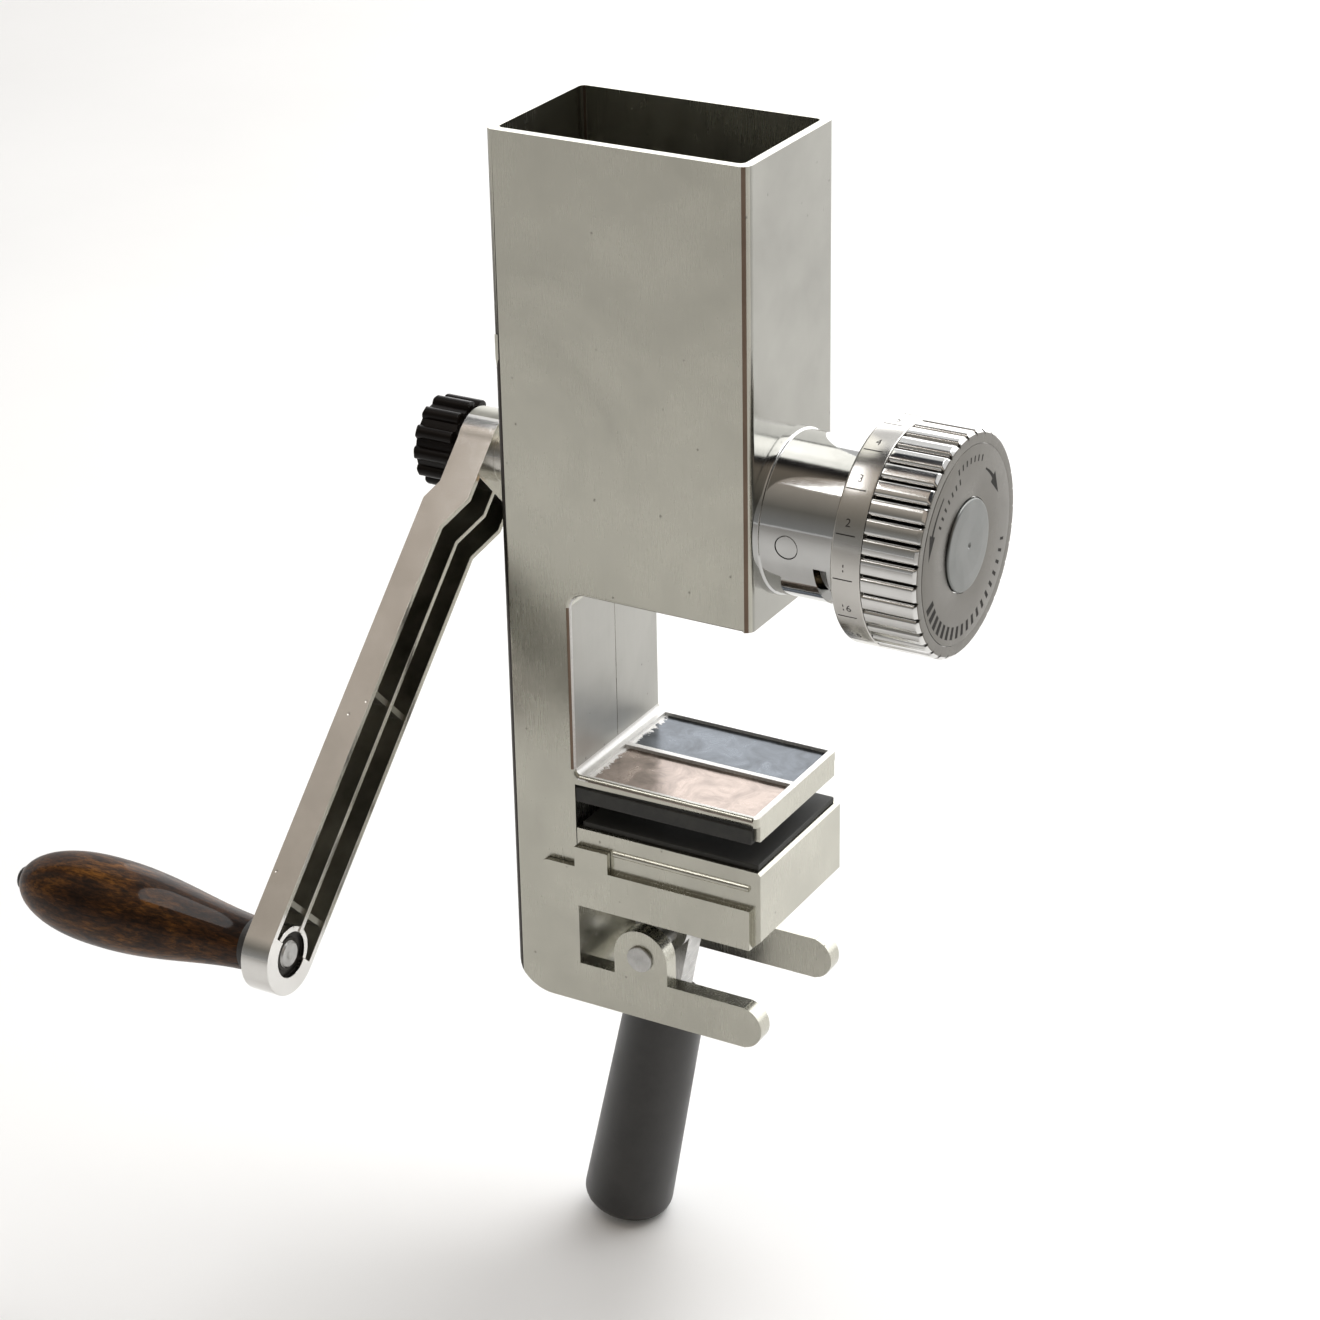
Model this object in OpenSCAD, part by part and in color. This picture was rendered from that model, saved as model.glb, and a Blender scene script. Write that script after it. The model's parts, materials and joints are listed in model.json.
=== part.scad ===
// Hand-cranked grain mill with a table clamp.
// Millimetres. +X points from the crank to the adjusting knob, +Z up.
// Origin: centre of the upper clamp pad's lower face, where it rests on a table.

/* [Housing] */
// Width of the cast housing across the table edge
body_w = 56.4; // [56:0.2:62]
// Length of the hopper block from back to front
body_l = 90.6; // [90:0.2:96]
// Height of the hopper rim above the table
hopper_top = 224; // [215:1:250]
// Height of the hopper block's underside above the table
block_bottom = 74.4; // [73:0.2:75]
// Height of the foot's underside below the table
foot_depth = 76; // [76:1:80]
// Depth of the column, back to front
column_d = 25.2; // [25:0.2:26]
// Thickness of the cast walls
wall = 3; // [2.6:0.1:3.2]

/* [Grinding head] */
// Height of the shaft above the table
shaft_h = 105.6; // [105:0.1:106]
// Radius of the drive shaft
shaft_r = 6; // [5.8:0.1:6]
// Outer radius of the neck tube
neck_r = 26; // [25.8:0.1:26]
// Radius of the scale ring and the adjusting knob
knob_r = 35.9; // [35:0.1:38]
// Number of flutes on the adjusting knob
flutes = 36; // [24:1:40]
// Number of marks around the scale ring
scale_marks = 16; // [8:1:24]

/* [Crank] */
// Distance from the shaft to the grip's axle
crank_l = 178; // [150:1:190]
// Angle of the arm from straight down, at rest
crank_angle = 46; // [30:1:60]
// Half the width of the arm
arm_hw = 13.2; // [13:0.1:14]
// Largest radius of the wooden grip
grip_r = 14.7; // [13:0.1:16]

/* [Clamp] */
// Thickness of the upper rubber pad
pad_t = 6.4; // [6:0.2:6.4]
// Gap between the two pads with the lever closed
table_gap = 7.5; // [7.5:0.1:8]
// Tilt of the closed lever from straight down
lever_tilt = 11.4; // [11:0.1:12]
// Largest radius of the lever's grip
lever_r = 15.8; // [14:0.1:16]

/* [Hidden] */
$fn = 96;
eps = 0.02;
back_x = -57.6;
front_x = back_x + body_l;
half_w = body_w / 2;
column_x = back_x + column_d;
tray_x = front_x + 1.9;
tray_floor = pad_t;
tray_top = pad_t + 3.2;
edge_r = 3.2;
tray_r = 2.2;
rebate = 1;
foot_z = -foot_depth;
rail_top = -61;
rail_w = 6;
rail_x = 36;
hopper_floor = 158;
trough_r = 16;
trough_end = -38;
// burr section along X
neck_end = 78;
neck_bore = 22.4;
slot_x0 = 53;
slot_x1 = 57.5;
burr_x0 = 35;
burr_x1 = 53;
fit = 0.05;
// knob section along X
ring_x0 = 63.9;
knob_x0 = 74.1;
face_x = 90.4;
face_out = 92.4;
// crank section along X
arm_x0 = -86.6;
arm_x1 = -76.6;
hub_x0 = -83.1;
hub_x1 = -70.6;
grip_x0 = -88.6;
grip_x1 = -181.6;
axle_r = 4;
// clamp
pivot = [-9.1, -53];
pivot_r = 3;
cam_r = 10;
cam_offset = 3.9;
cam_dir = 50;
jaw_top = -table_gap - 2;
jaw_bottom = -37.5;
jaw_x0 = column_x + 0.3;
jaw_x1 = 36;
skirt_x = -45.6;
cam_top = pivot[1] + cam_r + cam_offset * cos(cam_dir);
grip_s0 = 31;
grip_s1 = 122;

// A cylinder along +X from x0 to x1 on the shaft's axis
module shaft_cyl(x0, x1, r) {
    translate([x0, 0, shaft_h])
        rotate([0, 90, 0]) cylinder(h = x1 - x0, r = r);
}
// A solid of revolution about the shaft's axis, from [radius, x] points
module shaft_turn(points) {
    translate([0, 0, shaft_h])
        rotate([0, 90, 0]) rotate_extrude() polygon(points);
}
// Profile in the X-Z plane, extruded across the mill from y0 to y1
module across(y0, y1) {
    translate([0, y1, 0]) rotate([90, 0, 0]) linear_extrude(y1 - y0) children();
}
// Rounded rectangle given by two corners
module round_rect(a, b, r) {
    w = b - a;
    translate(a + [r, 0]) square([w[0] - 2 * r, w[1]]);
    translate(a + [0, r]) square([w[0], w[1] - 2 * r]);
    for (p = [[r, r], [w[0] - r, r], [r, w[1] - r], [w[0] - r, w[1] - r]])
        translate(a + p) circle(r);
}
// A concave corner of radius r at p; sx and sz point into the open side
module fillet(p, r, sx, sz) {
    translate(p) difference() {
        translate([min(0, sx * r), min(0, sz * r)]) square(r);
        translate([sx * r, sz * r]) circle(r);
    }
}
// Places children on the crank arm: local -Z runs along the arm
module on_arm() {
    translate([0, 0, shaft_h]) rotate([-crank_angle, 0, 0]) children();
}
// Places children on the lever: local -Z runs along the grip
module on_lever() {
    translate([pivot[0], 0, pivot[1]]) rotate([0, lever_tilt, 0]) children();
}

// ---- housing ----
module side_outline() {
    translate([back_x, block_bottom]) square([body_l, hopper_top - block_bottom]);
    translate([back_x, foot_z + 14]) square([column_d, block_bottom - foot_z - 13]);
    translate([back_x + 14, foot_z]) circle_corner(14);
    translate([back_x + 14, foot_z]) square([column_d - 14, 15]);
    fillet([column_x, block_bottom], 5, 1, -1);
}
module tray_outline() {
    translate([column_x - 1, tray_floor]) square([tray_x - column_x + 1, tray_top - tray_floor]);
    fillet([column_x, tray_top], 2, 1, 1);
}
// A side view across the whole width, with upright edges rounded where it ends at x
module rounded_across(x, r) {
    intersection() {
        across(-half_w, half_w) children();
        translate([0, 0, foot_z]) linear_extrude(hopper_top - foot_z)
            round_rect([back_x, -half_w], [x, half_w], r);
    }
}
module circle_corner(r) {
    intersection() {
        translate([0, r]) circle(r);
        translate([-r, 0]) square(r + eps);
    }
}
module rail_outline() {
    translate([back_x + 14, foot_z]) square([rail_x - back_x - 20, rail_top - foot_z]);
    translate([rail_x - 7.5, (foot_z + rail_top) / 2]) circle((rail_top - foot_z) / 2);
    translate(pivot) circle(cam_r);
    translate([pivot[0] - cam_r, pivot[1] - 10]) square([2 * cam_r, 10]);
}
module housing_shell() {
    difference() {
        union() {
            rounded_across(front_x, edge_r) side_outline();
            rounded_across(tray_x, tray_r) tray_outline();
        }
        // hopper
        translate([0, 0, hopper_floor]) linear_extrude(hopper_top - hopper_floor + 1)
            round_rect([back_x + wall, wall - half_w], [front_x - wall, half_w - wall], 2);
        // hollow column, open at its foot
        translate([back_x + wall, wall - half_w, foot_z - 1])
            cube([column_d - 2 * wall, body_w - 2 * wall, block_bottom - foot_z - 4]);
        // pocket under the hopper block
        translate([column_x + 4, wall - half_w, block_bottom - 1])
            cube([front_x - wall - column_x - 4, body_w - 2 * wall, 64]);
    }
}
module funnel_outline(grow) {
    polygon([
        [back_x + wall - grow, hopper_floor + eps], [back_x + wall - grow, hopper_floor - 8],
        [trough_end, shaft_h], [front_x - wall, shaft_h], [front_x - wall, hopper_floor + eps]
    ]);
}
module funnel_cross(grow) {
    polygon([
        [grow + half_w - wall, hopper_floor + eps], [grow + half_w - wall, hopper_floor - 8],
        [trough_r - 1 + grow, shaft_h - 6], [1 - trough_r - grow, shaft_h - 6],
        [wall - half_w - grow, hopper_floor - 8], [wall - half_w - grow, hopper_floor + eps]
    ]);
}
// Solid block around the funnel and the auger trough
module trough_block() {
    intersection() {
        translate([back_x + 1, 0, 0]) rotate([90, 0, 90]) linear_extrude(body_l - 1 - wall)
            funnel_cross(wall - 0.2);
        translate([back_x + 1, -half_w, shaft_h - 6]) cube([body_l - 2, body_w, hopper_floor - shaft_h + 6]);
    }
    shaft_cyl(back_x + 1, front_x - 1, trough_r + wall);
}
module hopper_funnel() {
    intersection() {
        across(-half_w, half_w) funnel_outline(0);
        translate([back_x, 0, 0]) rotate([90, 0, 90]) linear_extrude(body_l) funnel_cross(0);
    }
}
module tray_recess() {
    for (side = [-1, 1])
        translate([column_x + 3.4, min(side * 1, side * (half_w - 2.2)), tray_top - 1.2])
            cube([tray_x - column_x - 5.6, half_w - 3.2, 2]);
}
module housing() {
    color("#b9bab2") difference() {
        union() {
            housing_shell();
            trough_block();
            // front lip that covers the pad's end
            translate([tray_x - tray_r, tray_r - half_w, 0.8]) cube([tray_r, body_w - 2 * tray_r, 6]);
            for (side = [-1, 1])
                across(min(side * half_w, side * (half_w - rail_w)), max(side * half_w, side * (half_w - rail_w)))
                    rail_outline();
            // stop bar behind the lever
            translate([-27, 1 - half_w, foot_z + 1]) cube([7, body_w - 2, 8]);
        }
        hopper_funnel();
        shaft_cyl(trough_end, front_x + 1, trough_r);
        shaft_cyl(front_x - wall - 2, front_x + 1, neck_bore + 0.6);
        // spring pocket and bushing seat in the back wall
        shaft_cyl(-51, trough_end + 1, 12.5);
        shaft_cyl(back_x - 1, -50, 9.5);
        tray_recess();
        // bore for the lever's pivot
        translate([pivot[0], half_w + 1, pivot[1]]) rotate([90, 0, 0]) cylinder(h = body_w + 2, r = pivot_r);
        // slot that guides the lower jaw
        translate([column_x - wall - 1, -5, -38]) cube([wall + 2, 10, 28]);
    }
}
module rear_bushing() {
    color("#b08d57") difference() {
        union() {
            shaft_cyl(back_x - 2, back_x, 12);
            shaft_cyl(back_x - 1, -50.4, 9.5);
        }
        shaft_cyl(back_x - 3, -49, shaft_r + fit);
    }
}
module rear_seal() {
    color("#3a3734") difference() {
        shaft_cyl(-50.4, -49, 12.4);
        shaft_cyl(-52, -48, shaft_r + fit);
    }
}

// ---- grinding head ----
module grinder_neck() {
    color("#d8d8d8") difference() {
        union() {
            shaft_cyl(front_x, neck_end, neck_r);
            shaft_cyl(front_x, front_x + 1.6, neck_r + 0.7);
            shaft_cyl(front_x - 4.8, front_x, neck_bore + 0.6);
        }
        shaft_cyl(front_x - 6, neck_end + 1, neck_bore);
        // flour outlet around the lower part of the tube
        intersection() {
            difference() {
                shaft_cyl(slot_x0, slot_x1, neck_r + 2);
                shaft_cyl(slot_x0 - 1, slot_x1 + 1, neck_bore - 2);
            }
            translate([slot_x0 - 1, -40, shaft_h - 46]) cube([10, 80, 40]);
        }
        for (side = [-1, 1]) lock_pin_place(side) cylinder(h = 8, r = 3.7);
    }
}
// Radial place of a lock pin on the neck, local +Z outwards
module lock_pin_place(side) {
    translate([44.2, side * (neck_bore - 2), shaft_h - 0.5]) rotate([-side * 90, 0, 0]) children();
}
module neck_lock_pins() {
    color("#c4c4c4") intersection() {
        for (side = [-1, 1]) lock_pin_place(side) cylinder(h = 8, r = 3.7);
        shaft_cyl(30, 60, neck_r - 0.1);
    }
}
module burr_ring() {
    color("#8f8f8c") difference() {
        shaft_cyl(burr_x0, burr_x1 - 1, neck_bore);
        shaft_turn([[0, burr_x0 - 1], [13.4, burr_x0 - 1], [13.4, burr_x0],
                    [18.9, burr_x1 - 1], [18.9, burr_x1], [0, burr_x1]]);
        for (i = [0 : 19])
            translate([0, 0, shaft_h]) rotate([i * 18, 0, 0]) rotate([0, 17, 0])
                translate([burr_x0 - 12, -0.9, 3.2]) cube([34, 1.8, 2.2]);
        for (side = [-1, 1]) lock_pin_place(side) translate([0, 0, -1]) cylinder(h = 8, r = 3.75);
    }
}
module front_bushing() {
    color("#b08d57") difference() {
        union() {
            shaft_cyl(66, 71, neck_bore);
            shaft_cyl(64, 73, 11);
        }
        shaft_cyl(63, 74, shaft_r + fit);
        for (i = [0 : 2])
            translate([60, 0, shaft_h]) rotate([i * 120, 0, 0]) translate([0, 0, 16.5])
                rotate([0, 90, 0]) cylinder(h = 20, r = 3.5);
    }
}
module burr_cone() {
    color("#8f8f8c") difference() {
        shaft_turn([[shaft_r, burr_x0], [12.4, burr_x0], [18.3, burr_x1], [18.3, burr_x1 + 1.5],
                    [shaft_r, burr_x1 + 1.5]]);
        for (i = [0 : 15])
            translate([0, 0, shaft_h]) rotate([i * 22.5, 0, 0]) rotate([0, -18, 0])
                translate([burr_x0 - 10, -1.1, 21.4]) rotate([0, 0, 4]) cube([34, 2.2, 3]);
    }
}
module burr_nut() {
    color("#9a9a96") difference() {
        shaft_cyl_hex(burr_x1 + 1.5, burr_x1 + 7.5, 10);
        shaft_cyl(burr_x1, burr_x1 + 9, shaft_r);
    }
}
module shaft_cyl_hex(x0, x1, r) {
    translate([x0, 0, shaft_h]) rotate([0, 90, 0]) cylinder(h = x1 - x0, r = r, $fn = 6);
}
// Ring of n points at angle step i of a helix
function helix_ring(c, a, r, n) = [
    for (k = [0 : n - 1]) [
        c[0] + r * sin(360 * k / n),
        (c[1] + r * cos(360 * k / n)) * cos(a),
        (c[1] + r * cos(360 * k / n)) * sin(a)
    ]
];
// A bar of round section wound about the X axis
module helix(x0, x1, turns, radius, wire, steps) {
    sides = 8;
    total = turns * steps;
    points = [
        for (i = [0 : total])
            each helix_ring([x0 + (x1 - x0) * i / total, radius], 360 * i / steps, wire, sides)
    ];
    walls = [
        for (i = [0 : total - 1], k = [0 : sides - 1])
            let (a = i * sides, b = a + sides, n = (k + 1) % sides)
                each [[a + k, a + n, b + k], [a + n, b + n, b + k]]
    ];
    caps = [[for (k = [sides - 1 : -1 : 0]) k], [for (k = [0 : sides - 1]) total * sides + k]];
    translate([0, 0, shaft_h]) polyhedron(points, concat(walls, caps), convexity = 6);
}
module return_spring() {
    color("#a8a8a4") helix(-47.6, -41.4, 4, 9.6, 0.75, 18);
}
module spring_washer() {
    color("#a8a8a4") difference() {
        shaft_cyl(-40.4, -38.6, 12.2);
        shaft_cyl(-42, -37, shaft_r);
    }
}
// One thread turn of the auger is a stack of thin sectors stepped along X
module feed_auger() {
    pitch = 20;
    steps = 24;
    turns = 3;
    length = turns * pitch;
    color("#9c9c98") difference() {
        union() {
            shaft_cyl(-38.6, burr_x0, 8.5);
            for (i = [0 : turns * steps - 1])
                translate([-32 + length * i / (turns * steps), 0, shaft_h])
                    rotate([0, 90, 0]) rotate([0, 0, -i * 360 / steps])
                        linear_extrude(4) auger_sector(360 / steps);
        }
        shaft_cyl(-40, burr_x0 + 1, shaft_r);
    }
}
module auger_sector(a) {
    polygon([[0, 0], [15.2, 0], [15.2 * cos(a), 15.2 * sin(a)]]);
}

// ---- adjusting knob ----
module thrust_plug() {
    color("#77777a") {
        shaft_cyl(76.2, face_x - 2.5, 7);
        shaft_cyl(76.2, 79, 12);
    }
}
module scale_ring() {
    color("#d0d0d0") difference() {
        shaft_turn([[neck_r + 0.4, ring_x0], [knob_r - 0.8, ring_x0], [knob_r, ring_x0 + 0.8],
                    [knob_r, knob_x0], [neck_r + 5, knob_x0], [neck_r + 5, ring_x0 + 3],
                    [neck_r + 0.4, ring_x0 + 3]]);
        for (i = [0 : scale_marks - 1])
            translate([ring_x0 + 1.6, 0, shaft_h]) rotate([i * 360 / scale_marks + 3.5, 0, 0])
                translate([0, -knob_r - 1, -0.25]) cube([7.2, 1.25, 0.5]);
    }
}
module knob_outline() {
    difference() {
        circle(knob_r);
        for (i = [0 : flutes - 1]) rotate(i * 360 / flutes) translate([knob_r + 1.1, 0]) circle(2.1);
    }
}
module adjusting_knob() {
    color("#cfcfcf") difference() {
        union() {
            translate([knob_x0, 0, shaft_h]) rotate([0, 90, 0])
                linear_extrude(face_x - knob_x0 - 0.8) knob_outline();
            shaft_turn([[0, knob_x0 + 9], [knob_r - 1, knob_x0 + 9], [knob_r - 1, face_x - 0.4],
                        [knob_r - 1.3, face_x + 0.8], [knob_r - 2.3, face_x + 1.6], [knob_r - 3.6, face_out],
                        [0, face_out]]);
        }
        // relief inside the grip ring, and the threaded sleeve on the neck
        difference() {
            shaft_cyl(knob_x0 - 1, face_x - 2.5, knob_r - 4.4);
            shaft_cyl(knob_x0 - 2, face_x, neck_r + 3);
        }
        shaft_cyl(knob_x0 - 1, neck_end + 1.6, neck_r + fit);
        shaft_cyl(neck_end, 86, 20);
        shaft_cyl(75, face_x - 2.5, 7 + fit);
        // seat of the dial plate
        shaft_cyl(face_out - 0.7, face_out + 1, knob_r - 4.4);
    }
}
module dial_plate() {
    color("#c6c6c4") difference() {
        shaft_cyl(face_out - 0.7, face_out + 0.1, knob_r - 4.5);
        shaft_cyl(face_out - 2, face_out + 2, 14.8);
    }
}
module hub_disc() {
    color("#d6d6d6") difference() {
        shaft_turn([[0, face_out - 0.7], [14.7, face_out - 0.7], [14.7, face_out + 0.5], [14, face_out + 1],
                    [0, face_out + 1]]);
        shaft_cyl(face_out + 0.6, face_out + 2, 0.8);
    }
}

// ---- shaft and crank ----
module drive_shaft() {
    color("#aaaaad") {
        shaft_cyl(hub_x1 + 0.2, 76, shaft_r);
        shaft_cyl(-96.5, hub_x0 + 0.1, 4.2);
        on_arm() translate([hub_x0, -4.2, -4.2]) cube([hub_x1 - hub_x0 + 0.4, 8.4, 8.4]);
    }
}
// Side view of the arm: x, and distance from the shaft, with the bend between hub and blade
module arm_body_side() {
    polygon([
        [hub_x0, -20], [hub_x1, -20], [hub_x1, 23], [arm_x1, 34], [arm_x1, crank_l + 20],
        [arm_x0, crank_l + 20], [arm_x0, 25.5], [hub_x0, 19]
    ]);
}
module arm_channel_side() {
    polygon([
        [hub_x0 + 4, 14.5], [hub_x1 + 1, 14.5], [hub_x1 + 1, 23], [arm_x1 + 1, 34],
        [arm_x1 + 1, crank_l + 20], [arm_x0 + 3.2, crank_l + 20], [arm_x0 + 3.2, 28], [hub_x0 + 4, 21.5]
    ]);
}
// Extrudes a side view over the local width y0 to y1
module arm_extrude(y0, y1) {
    translate([0, y1, 0]) rotate([90, 0, 0]) linear_extrude(y1 - y0) scale([1, -1]) children();
}
module arm_plan() {
    rotate([90, 0, 90]) translate([0, 0, arm_x0 - 1]) linear_extrude(hub_x1 - arm_x0 + 2) {
        circle(arm_hw + 0.3);
        translate([-arm_hw, -crank_l]) square([2 * arm_hw, crank_l]);
        translate([0, -crank_l]) circle(arm_hw);
    }
}
module along_x(x0, x1, r, z) {
    translate([x0, 0, z]) rotate([0, 90, 0]) cylinder(h = x1 - x0, r = r);
}
module arm_webs() {
    for (u = [92, 164]) translate([arm_x0, -arm_hw, -u - 1]) cube([8.6, 2 * arm_hw, 2]);
}
module crank_arm() {
    color("#c9c8c4") on_arm() difference() {
        union() {
            intersection() {
                arm_extrude(-20, 20) arm_body_side();
                arm_plan();
            }
            along_x(hub_x1 - 1, -61, 10, 0);
        }
        difference() {
            intersection() {
                union() {
                    arm_extrude(1 - arm_hw + 1, -0.9) arm_channel_side();
                    arm_extrude(0.9, arm_hw - 2) arm_channel_side();
                }
                translate([arm_x0, -arm_hw, -crank_l + 1.5]) cube([40, 2 * arm_hw, crank_l]);
            }
            along_x(hub_x0, -60, 12.4, 0);
            along_x(arm_x0, arm_x1 - 0.4, 9.2, -crank_l);
            arm_webs();
        }
        along_x(arm_x1 - 1.6, arm_x1 + 2, 7.4, -crank_l);
        along_x(arm_x0 - 1, arm_x1 + 2, axle_r, -crank_l);
        along_x(hub_x1 - 0.4, -60, shaft_r, 0);
        translate([hub_x0 - 1, -4.2, -4.2]) cube([hub_x1 - hub_x0 + 1.2, 8.4, 8.4]);
    }
}
module crank_washer() {
    color("#a8a8a4") difference() {
        shaft_cyl(hub_x0 - 1.5, hub_x0, 10.5);
        shaft_cyl(hub_x0 - 2, hub_x0 + 1, 4.2);
    }
}
module nut_outline() {
    lobes = 12;
    circle(13.2);
    for (i = [0 : lobes - 1]) rotate(i * 360 / lobes) translate([12.9, 0]) circle(2.3);
}
module crank_nut() {
    color("#1d1916") difference() {
        union() {
            translate([-98.1, 0, shaft_h]) rotate([0, 90, 0]) linear_extrude(hub_x0 - 1.5 + 98.1) nut_outline();
            shaft_cyl(-99, -98, 12.6);
        }
        shaft_cyl(-97, -80, 4.2);
    }
}
module grip_axle() {
    color("#a0a09c") on_arm() {
        along_x(grip_x1 + 4, arm_x1 - 1.6, axle_r, -crank_l);
        along_x(arm_x1 - 1.6, arm_x1 - 0.5, 5.6, -crank_l);
        along_x(grip_x1 + 4, grip_x1 + 7, 6, -crank_l);
    }
}
module grip_washer() {
    color("#151413") on_arm() difference() {
        along_x(grip_x0 + 0.3, arm_x0, 9, -crank_l);
        along_x(grip_x0 - 1, arm_x0 + 1, axle_r, -crank_l);
    }
}
// Radius of the grip at t, from 0 at the arm to 1 at its end
function grip_radius(t) = t < 0.62
    ? 8.6 + (grip_r - 8.6) * (0.5 - 0.5 * cos(180 * pow(t / 0.62, 0.9)))
    : grip_r * sqrt(1 - 0.93 * pow((t - 0.62) / 0.38, 2.4));
module wood_grip() {
    steps = 30;
    outline = [
        for (i = [0 : steps])
            let (t = i / steps) [grip_radius(t), grip_x0 + (grip_x1 - grip_x0) * t]
    ];
    color("#4a2c14") on_arm() translate([0, 0, -crank_l]) rotate([0, 90, 0]) difference() {
        rotate_extrude() polygon(concat([[0, grip_x0]], outline, [[0, grip_x1]]));
        translate([0, 0, grip_x1 + 6.5]) cylinder(h = 100, r = axle_r + fit);
        translate([0, 0, grip_x1 - 1]) cylinder(h = 8.3, r = 3.2);
        translate([0, 0, grip_x1 + 2.5]) cylinder(h = 5, r = 6.4);
    }
}
module grip_end_cap() {
    color("#121110") on_arm() translate([0, 0, -crank_l]) rotate([0, 90, 0]) rotate_extrude()
        polygon([[0, grip_x1 - 2.4], [2.2, grip_x1 - 2.1], [3.8, grip_x1 - 1], [4.2, grip_x1],
                 [3.2, grip_x1], [3.2, grip_x1 + 2.5], [0, grip_x1 + 2.5]]);
}

// ---- clamp ----
module clamp_pad() {
    pad_l = tray_x - tray_r - column_x;
    // its top edge is set back, which leaves a dark line under the tray
    color("#161616") {
        translate([column_x, 0.2 - half_w, 0]) cube([pad_l, body_w - 0.4, pad_t - rebate]);
        translate([column_x, rebate - half_w, 0]) cube([pad_l, body_w - 2 * rebate, pad_t]);
    }
}
module jaw_pad() {
    color("#161616") translate([jaw_x0 + 1.5, 1.5 - half_w, jaw_top])
        cube([jaw_x1 - jaw_x0 - 3, body_w - 3, 2]);
}
module jaw_outline(x0, x1) {
    polygon([[x0, jaw_bottom], [x1 - 3, jaw_bottom], [x1, jaw_bottom + 3], [x1, jaw_top - 1], [x1 - 1, jaw_top],
             [x0, jaw_top]]);
}
module skirt_outline() {
    translate([skirt_x, jaw_bottom]) square([jaw_x1 - 3 - skirt_x, 11]);
    translate([skirt_x + 3.5, -26.5]) square([jaw_x1 - 6.5 - skirt_x, 3.5]);
    translate([skirt_x + 3.5, -26.5]) circle(3.5);
    translate([jaw_x0, -30]) square([12.5, 14.4]);
}
module lower_jaw() {
    color("#b2b3ad") difference() {
        union() {
            difference() {
                across(-half_w, half_w) jaw_outline(jaw_x0, jaw_x1);
                translate([jaw_x0 + 4, wall - half_w, jaw_bottom - 1])
                    cube([jaw_x1 - jaw_x0 - 7, body_w - 2 * wall, jaw_top - jaw_bottom - 3]);
            }
            // side skirts that straddle the column, joined to the jaw ahead of it
            for (side = [-1, 1]) {
                across(side * (half_w + 1.25) - 1, side * (half_w + 1.25) + 1) skirt_outline();
                across(side * (half_w - 0.3) - 1, side * (half_w - 0.3) + 1)
                    translate([jaw_x0, jaw_bottom]) square([jaw_x1 - 3 - jaw_x0, 14.5]);
            }
            for (side = [-1, 1], z = [-15.8, -24.2])
                translate([jaw_x0 + 14, side * half_w, z]) rotate([0, 90, 0])
                    cylinder(h = jaw_x1 - jaw_x0 - 18, r = 1.1);
            // block above the cam, and two ribs beside it
            translate([-26, -9, cam_top + 2.2]) cube([32, 18, jaw_top - cam_top - 3]);
            for (x = [-18, 14]) translate([x, 1 - half_w, -30]) cube([3, body_w - 2, 18]);
            // neck that passes through the column's slot
            translate([column_x - 3.6, -4.7, -32]) cube([4.2, 9.4, 20]);
        }
        for (z = [-17, -27]) along_x(column_x - 5, column_x + 8, 1.6, z);
    }
}
module wear_plate() {
    color("#8d8d8a") translate([-24, -8, cam_top + 0.2]) cube([28, 16, 2]);
}
module slide_block() {
    color("#8d8d8a") difference() {
        translate([column_x - 8.6, -12, -34]) cube([5, 24, 24]);
        for (z = [-17, -27]) along_x(column_x - 9, column_x, 1.6, z);
    }
}
module slide_screws() {
    color("#77777a") for (z = [-17, -27]) {
        along_x(column_x - 8.6, column_x + 7, 1.6, z);
        along_x(column_x - 10.8, column_x - 8.6, 3, z);
    }
}
module pivot_pin() {
    color("#c0c0c0") translate([pivot[0], 0, pivot[1]]) rotate([90, 0, 0]) {
        translate([0, 0, -half_w - 2]) cylinder(h = body_w + 2, r = pivot_r);
        translate([0, 0, half_w]) cylinder(h = 1.2, r = 4.6);
    }
}
module pivot_clip() {
    color("#8d8d8a") translate([pivot[0], half_w + 1, pivot[1]]) rotate([90, 0, 0]) difference() {
        cylinder(h = 1, r = 5.2);
        translate([0, 0, -1]) cylinder(h = 3, r = pivot_r);
        translate([-1.4, 0, -1]) cube([2.8, 8, 3]);
    }
}
module lever_cam() {
    color("#a9a9a6") difference() {
        union() {
            translate([pivot[0] - cam_offset * sin(cam_dir), 0, pivot[1] + cam_offset * cos(cam_dir)])
                rotate([90, 0, 0]) cylinder(h = 18, r = cam_r, center = true);
            on_lever() {
                translate([-6, -5, -grip_s0]) cube([12, 10, grip_s0]);
                translate([0, 0, -grip_s1 + 14]) cylinder(h = grip_s1 - grip_s0 - 13, r = 5);
            }
        }
        translate([pivot[0], 20, pivot[1]]) rotate([90, 0, 0]) cylinder(h = 40, r = pivot_r + fit);
    }
}
module lever_grip() {
    top_r = lever_r - 2.3;
    color("#171717") on_lever() difference() {
        rotate_extrude() polygon([
            [0, -grip_s1], [lever_r - 5, -grip_s1], [lever_r - 2, -grip_s1 + 0.9],
            [lever_r - 0.6, -grip_s1 + 2.4], [lever_r, -grip_s1 + 5],
            [top_r, -grip_s0 - 1.5], [top_r - 1.5, -grip_s0], [0, -grip_s0]
        ]);
        translate([0, 0, -grip_s1 + 14]) cylinder(h = grip_s1, r = 5);
    }
}

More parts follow.
